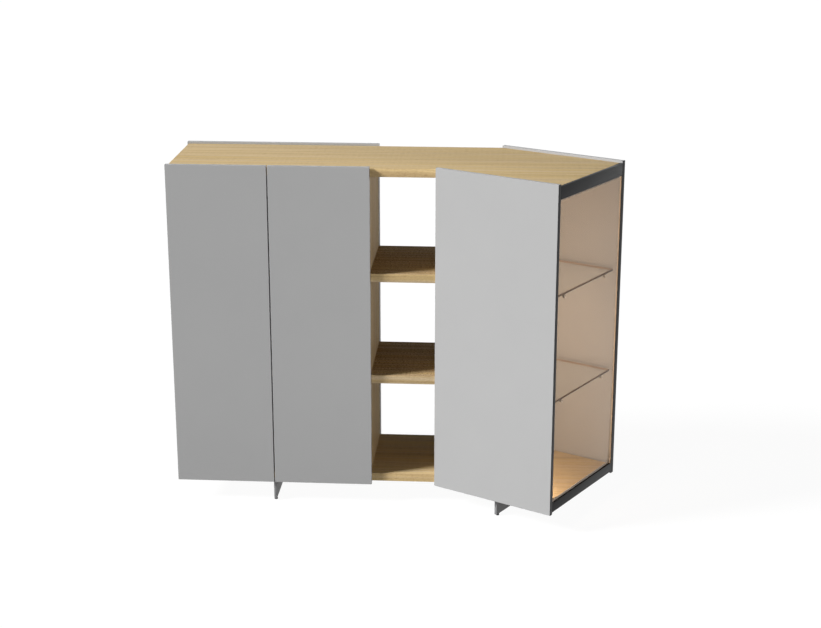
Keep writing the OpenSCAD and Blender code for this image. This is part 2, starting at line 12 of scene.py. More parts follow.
import bpy
import numpy as np
from math import radians
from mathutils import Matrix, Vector

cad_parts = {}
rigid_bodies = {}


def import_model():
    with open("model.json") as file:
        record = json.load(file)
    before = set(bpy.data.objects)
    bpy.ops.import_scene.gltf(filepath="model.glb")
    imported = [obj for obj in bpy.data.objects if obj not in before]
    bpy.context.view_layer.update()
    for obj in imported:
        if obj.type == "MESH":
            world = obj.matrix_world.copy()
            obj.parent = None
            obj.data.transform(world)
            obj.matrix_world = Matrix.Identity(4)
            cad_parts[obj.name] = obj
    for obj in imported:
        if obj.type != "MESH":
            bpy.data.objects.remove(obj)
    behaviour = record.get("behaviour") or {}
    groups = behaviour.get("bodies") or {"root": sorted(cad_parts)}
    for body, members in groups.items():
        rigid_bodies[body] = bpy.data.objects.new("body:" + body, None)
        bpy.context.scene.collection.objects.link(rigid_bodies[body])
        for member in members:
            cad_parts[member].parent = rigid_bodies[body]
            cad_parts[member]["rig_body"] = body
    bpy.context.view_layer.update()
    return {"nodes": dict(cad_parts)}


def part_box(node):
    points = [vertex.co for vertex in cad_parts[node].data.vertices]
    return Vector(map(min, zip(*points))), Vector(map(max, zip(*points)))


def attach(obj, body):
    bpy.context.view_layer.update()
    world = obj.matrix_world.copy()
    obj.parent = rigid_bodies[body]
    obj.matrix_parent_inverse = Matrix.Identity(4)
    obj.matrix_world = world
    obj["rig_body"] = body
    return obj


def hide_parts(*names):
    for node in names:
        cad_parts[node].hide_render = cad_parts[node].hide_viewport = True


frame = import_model()
nodes = frame["nodes"]
scene = bpy.context.scene

# %% [markdown]
# ## The camera
#
# The photograph was taken from a little above the cupboard's top and almost straight in front of the
# doors. A long lens keeps the upright edges nearly parallel. Six corners of the doors and panels, found
# in the picture, were enough to work out the place, the turn and the focal length by least squares.

# %% Place the camera
CAMERA_PLACE = (0.43937, -5.85694, 2.5595)
LOOKS_DOWN, TURNED = 17.23, 3.78  # degrees
SENSOR, LENS = 36, 71.43  # millimetres

camera = bpy.data.objects.new("camera", bpy.data.cameras.new("camera"))
camera.location = CAMERA_PLACE
camera.rotation_euler = (radians(90 - LOOKS_DOWN), 0, radians(TURNED))
camera.data.sensor_width = SENSOR
camera.data.lens = LENS
scene.collection.objects.link(camera)
scene.camera = camera
print("camera looks along", np.round(camera.matrix_basis.to_quaternion() @ Vector((0, 0, -1)), 3))

# %% [markdown]
# ## Studio light
#
# The shadows on the open shelves tell where the light came from: from the left, a little in front and
# about a third of the way up, with a soft edge. A sun lamp with a wide disc gives that. Two weak
# low suns stand for the white walls of the studio, in front and behind. The world is white for the
# camera and in gloss and glass, but gives nearly nothing to diffuse rays, so the bay keeps its shade.

# %% Suns and world
WHITE = (1, 1, 1, 1)
AMBIENT = 0.015
LAMPS = {  # name: where its light comes from, strength, width of its disc in degrees
    "key_light": ((-0.946, -0.325, 0.64), 4.96, 14),
    "front_light": ((0.08, -0.997, 0.03), 1.22, 6),
    "back_light": ((0.35, 0.937, -0.01), 1.65, 6),
}


def add(tree, kind, inputs=None, **settings):
    """One shader node. A socket among the inputs is linked, any other value is set on the node."""
    made = tree.nodes.new("ShaderNode" + kind)
    for name, value in settings.items():
        setattr(made, name, value)
    for key, value in (inputs or {}).items():
        if isinstance(value, bpy.types.NodeSocket):
            tree.links.new(value, made.inputs[key])
        else:
            made.inputs[key].default_value = value
    return made


def calc(tree, operation, *numbers):
    """The number that one Math node works out from two or three others."""
    return add(tree, "Math", dict(enumerate(numbers)), operation=operation).outputs[0]


def band(tree, value, low, high, to_low, to_high):
    """The value's range low to high, stretched to the range to_low to to_high, held at its ends."""
    ends = {"From Min": low, "From Max": high, "To Min": to_low, "To Max": to_high}
    return add(tree, "MapRange", {"Value": value, **ends}).outputs[0]


def seen_directly(tree):
    """1 for rays that show the background, 0 for soft bounced light.

    The first come from the camera, off gloss, or through glass.
    """
    path = add(tree, "LightPath")
    sharp = calc(tree, "MAXIMUM", path.outputs["Is Camera Ray"], path.outputs["Is Glossy Ray"])
    return calc(tree, "MAXIMUM", sharp, path.outputs["Is Transmission Ray"])


for name, (source, strength, width) in LAMPS.items():
    lamp = bpy.data.objects.new(name, bpy.data.lights.new(name, "SUN"))
    lamp.data.energy = strength
    lamp.data.angle = radians(width)
    lamp.rotation_euler = Vector(source).to_track_quat("Z", "Y").to_euler()
    scene.collection.objects.link(lamp)

world = scene.world or bpy.data.worlds.new("studio")
scene.world = world
world.use_nodes = True
tree = world.node_tree
tree.nodes.clear()
level = band(tree, seen_directly(tree), 0.0, 1.0, AMBIENT, 1.0)
back = add(tree, "Background", {"Color": WHITE, "Strength": level})
add(tree, "OutputWorld", {"Surface": back.outputs[0]})
print("lamps", list(LAMPS), "ambient", AMBIENT)

# %% [markdown]
# ## The floor
#
# A studio floor is a pale sheet that goes on past the picture. Most of its brightness comes from its
# own faint glow, and the rest from the lamps, so the cupboard's shadow still shows on it, as lightly
# as on the white sheet of a product photograph.

# %% Floor
FLOOR_HALF = 30.0
FLOOR_GLOW = 0.955
FLOOR_GLOW_SOFT = 0.08
FLOOR_COLOUR = 0.07


def new_mesh(name, points, faces):
    """A mesh object at the origin, from an array of points and a list of faces."""
    mesh = bpy.data.meshes.new(name)
    mesh.from_pydata(np.asarray(points, float).tolist(), [], faces)
    mesh.update()
    made = bpy.data.objects.new(name, mesh)
    scene.collection.objects.link(made)
    return made


corners = np.array([(-1, -1, 0), (1, -1, 0), (1, 1, 0), (-1, 1, 0)]) * FLOOR_HALF
floor = new_mesh("studio_floor", corners, [(0, 1, 2, 3)])
sheet = bpy.data.materials.new("studio_sheet")
sheet.use_nodes = True
tree = sheet.node_tree
tree.nodes.clear()
level = band(tree, seen_directly(tree), 0.0, 1.0, FLOOR_GLOW_SOFT, FLOOR_GLOW)
glow = add(tree, "Emission", {"Color": WHITE, "Strength": level})
matt = add(tree, "BsdfDiffuse", {"Color": (FLOOR_COLOUR, FLOOR_COLOUR, FLOOR_COLOUR, 1)})
both = add(tree, "AddShader", {0: glow.outputs[0], 1: matt.outputs[0]})
add(tree, "OutputMaterial", {"Surface": both.outputs[0]})
floor.data.materials.append(sheet)
print("floor", 2 * FLOOR_HALF, "m wide")

# %% [markdown]
# ## How a finish is made
#
# A helper starts a material with one Principled shader, and constants go on the shader's own sockets.
# Every surface here also has something small that varies over it: a mist in the lacquer, lines from
# the die, a moulded grain. The helper called surface lays such a pattern into colour, roughness and
# bump at once, because on a real surface the same cause shows in all three.

# %% Start a material
def linear(red, green, blue):
    """A colour of 0 to 255, as a picture shows it, in the linear light that shaders use."""
    c = np.array((red, green, blue)) / 255
    c = np.where(c <= 0.04045, c / 12.92, ((c + 0.055) / 1.055) ** 2.4)
    return (*c.tolist(), 1.0)


def finish(name, colour, roughness, **sockets):
    """A material with one Principled shader. Returns the material, its tree and the shader."""
    material = bpy.data.materials.new(name)
    material.use_nodes = True
    tree = material.node_tree
    shader = tree.nodes["Principled BSDF"]
    shader.inputs["Base Color"].default_value = linear(*colour)
    shader.inputs["Roughness"].default_value = roughness
    for key, value in sockets.items():
        shader.inputs[key.replace("_", " ")].default_value = value
    return material, tree, shader


def place_in(tree):
    """The place on the piece, in metres from its origin."""
    return add(tree, "TexCoord").outputs["Object"]


def chart_of(tree):
    """The place on the piece's own map, in metres along its surface."""
    return add(tree, "UVMap", uv_map="grain").outputs[0]


def noise(tree, place, cells, detail=2.0):
    """A noise of about 0.3 to 0.7 with so many cells in a metre."""
    return add(tree, "TexNoise", {"Vector": place, "Scale": cells, "Detail": detail}).outputs[0]


def stretched(tree, place, first, second, detail=2.0):
    """A noise with so many cells in a metre along the first and the second direction of a map."""
    wide = add(tree, "Mapping", {"Vector": place, "Scale": (first, second, 1.0)}).outputs[0]
    sockets = {"Vector": wide, "Scale": 1.0, "Detail": detail}
    return add(tree, "TexNoise", sockets, noise_dimensions="2D").outputs[0]


def colour_mix(tree, factor, a, b):
    """The colour that one Mix node gives between a and b."""
    return add(tree, "Mix", {0: factor, 6: a, 7: b}, data_type="RGBA").outputs[2]


def surface(tree, shader, cloud, grain, tones, rough, bump, deep):
    """Lays a slow cloud and a fine grain over a finish, whose colour wanders between two tones."""
    halves = [calc(tree, "MULTIPLY", part, 0.5) for part in (cloud, grain)]
    shade = band(tree, calc(tree, "ADD", *halves), 0.35, 0.65, 0.0, 1.0)
    dark, light = (linear(*tone) for tone in tones)
    tree.links.new(colour_mix(tree, shade, dark, light), shader.inputs["Base Color"])
    tree.links.new(band(tree, grain, 0.3, 0.7, *rough), shader.inputs["Roughness"])
    raised = add(tree, "Bump", {"Height": grain, "Strength": bump, "Distance": deep})
    tree.links.new(raised.outputs[0], shader.inputs["Normal"])


def mottled(name, colour, roughness, cloud, grain, tones, rough, bump, deep, **sockets):
    """A finish whose cloud and grain are noises, each given by its cells in a metre and detail."""
    material, tree, shader = finish(name, colour, roughness, **sockets)
    place = place_in(tree)
    cloud, grain = noise(tree, place, *cloud), noise(tree, place, *grain)
    surface(tree, shader, cloud, grain, tones, rough, bump, deep)
    return material


print("mid grey in linear light:", round(linear(128, 128, 128)[0], 3))

# %% [markdown]
# ## Grey lacquer and powder coat
#
# The doors and back panels are sprayed with a matt grey lacquer. It looks flat from afar, but a mist of
# slightly paler and darker grey lies in it, and close up the skin has a soft orange peel. The feet have
# a powder coat baked on. Its grey is darker than the doors' grey as painted shade, for the shade that
# falls under the boards. The powder flows less, so its grain is finer and deeper, and its gloss is
# broken up.

# %% Grey finishes
lacquer = mottled(
    "matt_grey_lacquer", (163, 163, 163), 0.45, cloud=(6.0, 3.0), grain=(420.0, 2.0),
    tones=((162, 162, 162.1), (164, 164, 163.9)), rough=(0.39, 0.47), bump=0.07, deep=0.0002,
    Specular_IOR_Level=0.2
)
# The feet's powder grey is darker than the doors' lacquer as painted shade, for the shade under the boards.
shade_darkened_powder = mottled(
    "grey_powder_coat_darkened_for_shade", (133, 133, 134), 0.55, cloud=(20.0, 2.0), grain=(1300.0, 2.0),
    tones=((128, 128, 129), (138, 138, 139)), rough=(0.42, 0.62), bump=0.25, deep=0.0002,
    Specular_IOR_Level=0.2
)
print("grey finishes made")

# %% [markdown]
# ## Dark metal
#
# The frame of the glass end is dark anodised aluminium. Drawing it through a die leaves fine lines along
# the profile, so its grain is a noise stretched along the piece's own map, and the gloss is silky: a
# face turned to the light is clearly paler than its neighbour.

# %% Anthracite
DIE_LINES = (2600.0, 9.0)  # cells in a metre across and along the profile
anthracite, tree, shader = finish("anthracite_metal", (18, 19, 20), 0.5, Specular_IOR_Level=0.26)
surface(
    tree, shader, noise(tree, place_in(tree), 14.0), stretched(tree, chart_of(tree), *DIE_LINES),
    tones=((15, 16, 17), (21, 22, 23)), rough=(0.44, 0.58), bump=0.12, deep=0.0001
)
print("anthracite made")

# %% [markdown]
# ## Nickel-plated steel
#
# Hinges, pins and screws are bright plated steel. A plated surface is never a clean mirror: rolling
# and tumbling leave soft spots of duller gloss, and the plating has a warm cast in places.

# %% Steel
steel = mottled(
    "nickel_plated_steel", (188, 187, 184), 0.3, cloud=(60.0, 3.0), grain=(900.0, 3.0),
    tones=((178, 176, 171), (199, 199, 198)), rough=(0.22, 0.4), bump=0.08, deep=0.0001, Metallic=1.0
)
print("steel made")

# %% [markdown]
# ## Plastics and the soft seal
#
# Moulded plastic takes the fine grain of its tool. The gliders and caps are black, and the latches grey.
# The seal is a soft pale strip, matt and slightly mottled, as silicone gets when dust settles on it. Its
# pale tones are made lighter still as painted light, for the light that shines through the silicone.

# %% Plastics and seal
PLASTICS = {  # name: darker tone, lighter tone, gloss, roughness from and to, grains in a metre
    "black_plastic": ((25, 25, 26), (34, 34, 35), 0.15, (0.45, 0.62), 1800.0),
    "grey_plastic": ((143, 143, 145), (155, 155, 156), 0.3, (0.4, 0.55), 1800.0),
    # The seal's tones are lightened as painted light, for the glow of light through the silicone.
    "pale_seal": ((214, 212, 207), (230, 229, 226), 0.15, (0.6, 0.8), 700.0),
}
black, grey, seal = (
    mottled(
        name, light, rough[0], cloud=(90.0, 2.0), grain=(cells, 2.0), tones=(dark, light),
        rough=rough, bump=0.3, deep=0.00008, Specular_IOR_Level=gloss
    )
    for name, (dark, light, gloss, rough, cells) in PLASTICS.items()
)
print("plastics", list(PLASTICS))

# %% [markdown]
# ## Glass
#
# Blender's refracting glass keeps the lamps out of the showcase and costs many samples. A float sheet
# doesn't bend the view, so its faces mix a tinted Transparent shader with a mirror, and the mirror's
# share grows towards a glancing view as it does on glass. A faint smear of fingers lies in the gloss.
# The edges get a finish of their own: pale and streaked by the wheel where they are only ground, and
# dark where they are polished. On the clear shelves the ground edges are brown, a painted reflection
# of the oak around them.

# %% Glass finishes
GLOSS_SHARE = 0.3
HEAD_ON = 0.04
BAND_SHIFT = 4.3  # a long side's height starts here on its map, away from the faces' patch
EDGE_BLUR = 0.002  # on this way a polished stretch begins and ends
POLISH_LOW, POLISH_HIGH = 0.0028, 0.0038  # its dark fades between these heights
DEEP_GLASS = linear(30, 42, 46)


def glass(name, tint):
    """Faces of a thin sheet, where facing is 0 head-on and 1 edge-on.

    The mirror's share is GLOSS_SHARE * (HEAD_ON + (1 - HEAD_ON) * facing^5).
    """
    material = bpy.data.materials.new(name)
    material.use_nodes = True
    tree = material.node_tree
    tree.nodes.clear()
    facing = add(tree, "LayerWeight", {"Blend": 0.5}).outputs["Facing"]
    steep = calc(tree, "POWER", facing, 5.0)
    share = calc(tree, "MULTIPLY_ADD", steep, (1 - HEAD_ON) * GLOSS_SHARE, HEAD_ON * GLOSS_SHARE)
    smear = noise(tree, place_in(tree), 9.0, 3.0)
    through = add(tree, "BsdfTransparent", {"Color": tint})
    dull = band(tree, smear, 0.4, 0.7, 0.015, 0.12)
    mirror = add(tree, "BsdfGlossy", {"Color": WHITE, "Roughness": dull})
    both = add(tree, "MixShader", {0: share, 1: through.outputs[0], 2: mirror.outputs[0]})
    add(tree, "OutputMaterial", {"Surface": both.outputs[0]})
    return material


def ground_edge(name, tones, polished=None):
    """The edge of a sheet: pale where it is only ground, with streaks along the wheel's way.

    polished says between which places on the way round the edge is polished too. There the lower
    half of its height is as dark as deep glass, and the upper half stays nearly as pale.
    """
    material, tree, shader = finish(name, tones[0], 0.3, Specular_IOR_Level=0.2)
    chart = chart_of(tree)
    surface(
        tree, shader, noise(tree, place_in(tree), 25.0), stretched(tree, chart, 12.0, 1500.0),
        tones, rough=(0.2, 0.4), bump=0.1, deep=0.00005
    )
    if polished:
        start, end = polished
        along, height = add(tree, "SeparateXYZ", {0: chart}).outputs[:2]
        begun = band(tree, along, start - EDGE_BLUR, start, 0.0, 1.0)
        going = band(tree, along, end, end + EDGE_BLUR, 1.0, 0.0)
        lower = band(tree, height, BAND_SHIFT + POLISH_LOW, BAND_SHIFT + POLISH_HIGH, 1.0, 0.25)
        dark = calc(tree, "MULTIPLY", calc(tree, "MULTIPLY", begun, going), lower)
        ground = shader.inputs["Base Color"].links[0].from_socket
        tree.links.new(colour_mix(tree, dark, ground, DEEP_GLASS), shader.inputs["Base Color"])
    return material


bronze = glass("bronze_glass", (0.955, 0.875, 0.80, 1))
clear = glass("clear_glass", (0.985, 0.99, 0.985, 1))
bronze_edge = ground_edge("bronze_glass_edge", ((190, 174, 156), (216, 202, 186)))
print("glass made")

# %% [markdown]
# ## Two sets of directions
#
# The left unit and the open middle stand square to the room. The showcase is turned by 30 degrees.
# Each piece is drawn in the directions of its own unit, and its place is read from the CAD part
# that it stands for, so nothing has to be fitted by eye.

# %% Directions and places
TURN = radians(30)
ACROSS, BACK, UP = np.eye(3)
ALONG = np.array((np.cos(TURN), -np.sin(TURN), 0.0))
INWARD = np.array((np.sin(TURN), np.cos(TURN), 0.0))


def corners_of(node):
    """All corner points of a CAD part's mesh, one row each."""
    mesh = nodes[node].data
    points = np.empty(3 * len(mesh.vertices), np.float32)
    mesh.vertices.foreach_get("co", points)
    return points.reshape(-1, 3).astype(float)


def reach(node, direction):
    """Lowest and highest place of a CAD part along a direction, in metres."""
    along = corners_of(node) @ direction
    return float(along.min()), float(along.max())


def spot(first, s, second, w, z=0.0):
    """The point whose places along two level directions are s and w, at height z."""
    flat = np.linalg.solve(np.array((first[:2], second[:2])), (s, w))
    return np.array((*flat, z))


print("showcase door from", np.round(reach("showcase_door", ALONG), 4), "along its front")

# %% [markdown]
# ## A skin over rings
#
# Nearly every piece here is sawn, drawn, folded or turned, so its surface can be laid over a row of
# rings: sections of the piece, one after the other, with the same number of points. Blender's own
# cylinders and bevels could make many of them, but a table of rings needs no edit mode, says every
# size in plain numbers and gives each facet its place in the grain at the same time.

# %% Skin
def skin(rings, around=None, up=None, level=False):
    """A closed shell: rings[j, i] is point i of ring j, and a flat face closes each end.

    Facet (j, i) has the corners (j, i), (j, i + 1), (j + 1, i + 1) and (j + 1, i). A ring turns
    counter-clockwise seen from where the rings go, so the facets face outwards. around and up are
    the two coordinates of the grain, in metres. level says which facets are flat, one row for each
    gap between two rings.
    """
    rings = np.asarray(rings, float)
    rows, count = rings.shape[:2]
    if around is None:
        side = np.linalg.norm(np.roll(rings, -1, 1) - rings, axis=2)
        around = np.append(0.0, side.max(0).cumsum())
        up = np.append(0.0, np.linalg.norm(np.diff(rings, axis=0), axis=2).mean(1).cumsum())
    j, i = np.meshgrid(np.arange(rows - 1), np.arange(count), indexing="ij")
    here, beside = j * count + i, j * count + (i + 1) % count
    quads = np.stack((here, beside, beside + count, here + count), -1)
    grain = np.stack((around[np.stack((i, i + 1, i + 1, i), -1)], up[np.stack((j, j, j + 1, j + 1), -1)]), -1)
    return {
        "points": rings.reshape(-1, 3), "quads": quads.reshape(-1, 4), "grain": grain.reshape(-1, 4, 2),
        "ends": [np.arange(count)[::-1], (rows - 1) * count + np.arange(count)],
        "end_grain": [rings[0, ::-1, :2], rings[-1, :, :2]],
        "level": np.broadcast_to(level, (rows - 1, count)).ravel(),
    }


print("a skin over 3 rings of 8 points has", len(skin(np.zeros((3, 8, 3)))["quads"]), "facets")

# %% [markdown]
# ## Straight pieces with soft arrises
#
# A joiner never leaves an edge sharp: it would chip, and it would cut the hand. The arris is rounded by
# about a millimetre on wood and less on metal, and that is what catches the light along a real edge.
# So a straight piece is its outline carried from one end to the other, with a quarter circle at each
# end of the way. The faces at the ends take their grain from the outline, and the long sides from the
# way walked round it, as a real band of veneer lies.

# %% Prism
LEVEL_OVER = 0.004  # a side longer than this is a flat face, and a shorter one is part of a curve


def prism(outline, low, high, ease=0.0004, steps=2, shift=(0.0, 0.0)):
    """The outline, walked counter-clockwise, carried from height low to height high.

    For an angle a from 0 to a right angle the lower arris is inset by ease * (1 - sin a) at
    low + ease * (1 - cos a), and the upper by ease * (1 - cos a) at high - ease * (1 - sin a). A
    corner moves inwards along its mitre, (n1 + n2) / (1 + n1 . n2), where n1 and n2 are its sides'
    inward normals.
    """
    plan = np.asarray(outline, float)
    walk = np.roll(plan, -1, 0) - plan
    length = np.linalg.norm(walk, axis=1)
    normal = np.stack((-walk[:, 1], walk[:, 0]), 1) / length[:, None]
    before = np.roll(normal, 1, 0)
    mitre = (normal + before) / (1 + (normal * before).sum(1, keepdims=True))
    angle = np.linspace(0, np.pi / 2, steps + 1)
    inset = ease * np.concatenate((1 - np.sin(angle), 1 - np.cos(angle)))
    rise = low + ease * (1 - np.cos(angle))
    height = np.concatenate((rise, high - ease * (1 - np.sin(angle))))
    level = np.zeros((2 * steps + 1, len(plan)), bool)
    level[steps] = length > LEVEL_OVER
    flat = plan + inset[:, None, None] * mitre
    tall = np.broadcast_to(height[:, None, None], (*flat.shape[:2], 1))
    around = np.append(0.0, length.cumsum())
    made = skin(np.concatenate((flat, tall), -1), around, height + BAND_SHIFT, level)
    made["grain"] = made["grain"] + shift
    made["end_grain"] = [grain + shift for grain in made["end_grain"]]
    return made


def rounded(outline, radius, steps=3):
    """The outline with round corners, of one radius or one for each corner; 0 leaves it sharp.

    The arc's middle is p + r * mitre, and its points are that minus r * n, where n turns from the
    inward normal of one side to that of the next. At a hollow corner r counts as negative.
    """
    plan = np.asarray(outline, float)
    walk = np.roll(plan, -1, 0) - plan
    normal = np.stack((-walk[:, 1], walk[:, 0]), 1) / np.linalg.norm(walk, axis=1)[:, None]
    before = np.roll(normal, 1, 0)
    cosine = (normal * before).sum(1)
    sine = before[:, 0] * normal[:, 1] - before[:, 1] * normal[:, 0]
    signed = np.broadcast_to(radius, len(plan)) * np.sign(sine)
    part = np.linspace(0, 1, steps + 1)
    turn = np.arctan2(sine, cosine)[:, None] * part
    c, s = np.cos(turn), np.sin(turn)
    x, y = before[:, :1], before[:, 1:]
    turned_normal = np.stack((x * c - y * s, x * s + y * c), -1)
    middle = plan + signed[:, None] * (normal + before) / (1 + cosine)[:, None]
    points = middle[:, None] - signed[:, None, None] * turned_normal
    return points[(np.abs(signed)[:, None] > 0) | (part == 0)]


def rectangle(s0, w0, s1, w1):
    """The four corners of a rectangle, counter-clockwise."""
    return [(s0, w0), (s1, w0), (s1, w1), (s0, w1)]


print("a square with round corners:", len(rounded(rectangle(0, 0, 1, 1), 0.1)), "points")

# %% [markdown]
# ## Turned pieces
#
# Pins, gliders, plungers and screws come off a lathe or a header. Blender's Spin tool would do it, but
# here the profile is simply multiplied by a circle. The profile's corners are rounded first, because
# a plated or moulded edge is never sharp. A screw's head gets its cross recess as a hollow in the same
# rings.

# %% Turned pieces and screw heads
HEAD_RINGS = (1, 1, 0.97, 0.9, 0.78, 0.7, 0.64, 0.56, 0.48, 0.4, 0.32, 0.25, 0.18, 0.11, 0.05)


def turned(profile, ease=0.00015, count=32):
    """The profile (r, t) spun round its axis: a point becomes the ring (r cos a, r sin a, t)."""
    profile = np.asarray(profile, float)
    line = np.concatenate((((0.0, profile[0, 1]),), profile, ((0.0, profile[-1, 1]),)))
    radii = np.full(len(line), ease)
    radii[[0, -1]] = 0.0
    r, t = rounded(line, radii, 2)[1:-1].T
    a = 2 * np.pi * np.arange(count) / count
    x, y = r[:, None] * np.cos(a), r[:, None] * np.sin(a)
    return skin(np.stack(np.broadcast_arrays(x, y, t[:, None]), -1))


def screw_head(radius, height, count=48):
    """A domed head with a cross recess. At distance r it is height * (1 - 0.45 (r / R)^2) high.

    The recess takes 0.7 of the height away where min(|x|, |y|) is under 0.11 R and r is under
    0.56 R, with sloping walls 0.1 R wide.
    """
    a = 2 * np.pi * np.arange(count) / count
    r = radius * np.array(HEAD_RINGS)[:, None]
    x, y = r * np.cos(a), r * np.sin(a)
    nearer = np.minimum(np.abs(x), np.abs(y))
    cross = np.clip((0.21 * radius - nearer) / (0.1 * radius), 0, 1)
    cross = cross * np.clip((0.66 * radius - r) / (0.1 * radius), 0, 1)
    z = height * (1 - 0.45 * (r / radius) ** 2 - 0.7 * cross)
    z[0] = 0.0
    z[1] = 0.45 * height
    return skin(np.stack((x, y, z), -1))


def box_rings(rows, count=48):
    """Rings (a, b, p, t), each the superellipse |x / a|^p + |y / b|^p = 1 at height t.

    p = 2 makes a ring round, and a large p nearly square.
    """
    a, b, p, t = np.asarray(rows, float).T[:, :, None]
    turn = 2 * np.pi * np.arange(count) / count
    c, s = np.cos(turn), np.sin(turn)
    r = (np.abs(c / a) ** p + np.abs(s / b) ** p) ** (-1 / p)
    return skin(np.stack((r * c, r * s, np.broadcast_to(t, r.shape)), -1))


print("a screw's head has", len(screw_head(0.005, 0.0025)["quads"]), "facets")

# %% [markdown]
# ## Pieces in their places
#
# Each unit has its own directions, counted from the lower hinge corner of its door: s along the front,
# w back and z up. The right door is the left one in a mirror, so its s runs the other way. Whatever is
# drawn for one hinge then fits all nine.

# %% Units
def door_corner(node, first, second, far=False):
    """The door's lower hinge corner in the world."""
    s, w = reach(node, first)[int(far)], reach(node, second)[0]
    return spot(first, s, second, w, reach(node, UP)[0])


UNITS = {
    "left": ((ACROSS, BACK, UP), door_corner("left_door", ACROSS, BACK)),
    "right": ((-ACROSS, BACK, UP), door_corner("right_door", ACROSS, BACK, far=True)),
    "showcase": ((ALONG, INWARD, UP), door_corner("showcase_door", ALONG, INWARD)),
}


def inside(node, unit):
    """Lowest and highest place of a CAD part in a unit's directions."""
    axes, corner = UNITS[unit]
    local = (corners_of(node) - corner) @ np.asarray(axes).T
    return local.min(0), local.max(0)


def fit(shape, unit, order, s=0.0, w=0.0, z=0.0):
    """The shape in its place in the world.

    order names where its x, y and z go, with a capital letter for the other way round.
    """
    axes, corner = UNITS[unit]
    signs = [-1.0 if letter.isupper() else 1.0 for letter in order]
    rows = np.array([axes["swz".index(letter)] for letter in order.lower()]) * np.array(signs)[:, None]
    made = dict(shape, points=shape["points"] @ rows + corner + np.array((s, w, z)) @ np.asarray(axes))
    if np.linalg.det(rows) < 0:
        made["quads"], made["grain"] = shape["quads"][:, ::-1], shape["grain"][:, ::-1]
        made["ends"] = [end[::-1] for end in shape["ends"]]
        made["end_grain"] = [grain[::-1] for grain in shape["end_grain"]]
    return made


def joined(name, shapes, sides=0):
    """One mesh object from several shapes, with a UV map "grain" in metres.

    sides is the material slot of the long sides.
    """
    first = np.append(0, np.cumsum([len(shape["points"]) for shape in shapes]))
    quads = np.concatenate([shape["quads"] + n for shape, n in zip(shapes, first)])
    ends = [(end + n).tolist() for shape, n in zip(shapes, first) for end in shape["ends"]]
    points = np.concatenate([shape["points"] for shape in shapes])
    made = new_mesh(name, points, quads.tolist() + ends)
    polygons = made.data.polygons
    level = np.concatenate([shape["level"] for shape in shapes] + [np.ones(len(ends), bool)])
    polygons.foreach_set("use_smooth", ~level)
    made.data.set_sharp_from_angle(angle=radians(32))
    grain = [shape["grain"].reshape(-1, 2) for shape in shapes]
    grain += [end for shape in shapes for end in shape["end_grain"]]
    made.data.uv_layers.new(name="grain").data.foreach_set("uv", np.concatenate(grain).ravel())
    if sides:
        slot = np.append(np.full(len(quads), sides), np.zeros(len(ends)))
        polygons.foreach_set("material_index", slot.astype(np.int32))
    return made


print("showcase pane in its unit, mm:", np.round(1000 * np.array(inside("end_pane", "showcase")), 1).tolist())

# %% [markdown]
# ## Oak
#
# Straight-grained oak shows three things at once: pale and darker stripes as wide as a finger, which
# are the years of growth; fine fibres; and short dark pores that follow the softer part of each
# stripe. Each is a noise that is drawn out along the grain. The stripes wander a little, because a
# slow noise moves them sideways. Short flecks, where the wood's rays were cut, are strongest on the
# open shelves. There they and stronger stripes also darken the oak as painted shade, for the shade
# inside the bay. The pores also go into the bump, and oil leaves the wood almost without gloss.

# %% Oak
OAK_PALE, OAK_GOLD = (212, 191, 156), (210, 185, 133)
OAK_DEEP, OAK_PORE = (191, 167, 124), (120, 86, 54)


def oak_finish(name, grain, figure=1.0, flecked=0.05):
    """Oiled oak. figure and flecked say how strongly the stripes and the short flecks stand out.

    grain is None where the veneer follows the piece's own map, or the directions along and across.
    """
    material, tree, shader = finish(name, OAK_PALE, 0.62, Specular_IOR_Level=0.01)
    if grain is None:
        place = chart_of(tree)
    else:
        here = place_in(tree)
        parts = [add(tree, "VectorMath", {0: here, 1: way}, operation="DOT_PRODUCT") for way in grain]
        place = add(tree, "CombineXYZ", {n: part.outputs["Value"] for n, part in enumerate(parts)}).outputs[0]
    drift = calc(tree, "MULTIPLY_ADD", stretched(tree, place, 1.1, 3.0), 0.03, 0.5)
    sideways = add(tree, "CombineXYZ", {1: drift}).outputs[0]
    place = add(tree, "VectorMath", {0: place, 1: sideways}, operation="ADD").outputs[0]
    years = stretched(tree, place, 0.5, 60.0, 3.0)
    hue = stretched(tree, place, 0.35, 75.0)
    fibres = stretched(tree, place, 8.0, 800.0)
    pores = band(tree, stretched(tree, place, 50.0, 1400.0, 1.0), 0.6, 0.68, 0.0, 1.0)
    pores = calc(tree, "MULTIPLY", pores, band(tree, years, 0.35, 0.6, 1.0, 0.35))
    flecks = stretched(tree, place, 150.0, 240.0)
    pale, gold, deep, pore = (linear(*tone) for tone in (OAK_PALE, OAK_GOLD, OAK_DEEP, OAK_PORE))
    wood = colour_mix(tree, band(tree, hue, 0.38, 0.62, 0.0, 1.0), pale, gold)
    wood = colour_mix(tree, band(tree, years, 0.3, 0.55, 0.6 * figure, 0.0), wood, deep)
    wood = colour_mix(tree, band(tree, fibres, 0.3, 0.7, 0.16 * figure, 0.0), wood, pore)
    wood = colour_mix(tree, band(tree, flecks, 0.38, 0.56, flecked, 0.0), wood, pore)
    wood = colour_mix(tree, calc(tree, "MULTIPLY", pores, 0.55), wood, pore)
    tree.links.new(wood, shader.inputs["Base Color"])
    tree.links.new(band(tree, fibres, 0.3, 0.7, 0.68, 0.58), shader.inputs["Roughness"])
    height = calc(tree, "SUBTRACT", calc(tree, "MULTIPLY", fibres, 0.3), pores)
    bump = add(tree, "Bump", {"Height": height, "Strength": 0.35, "Distance": 0.00012})
    tree.links.new(bump.outputs[0], shader.inputs["Normal"])
    return material


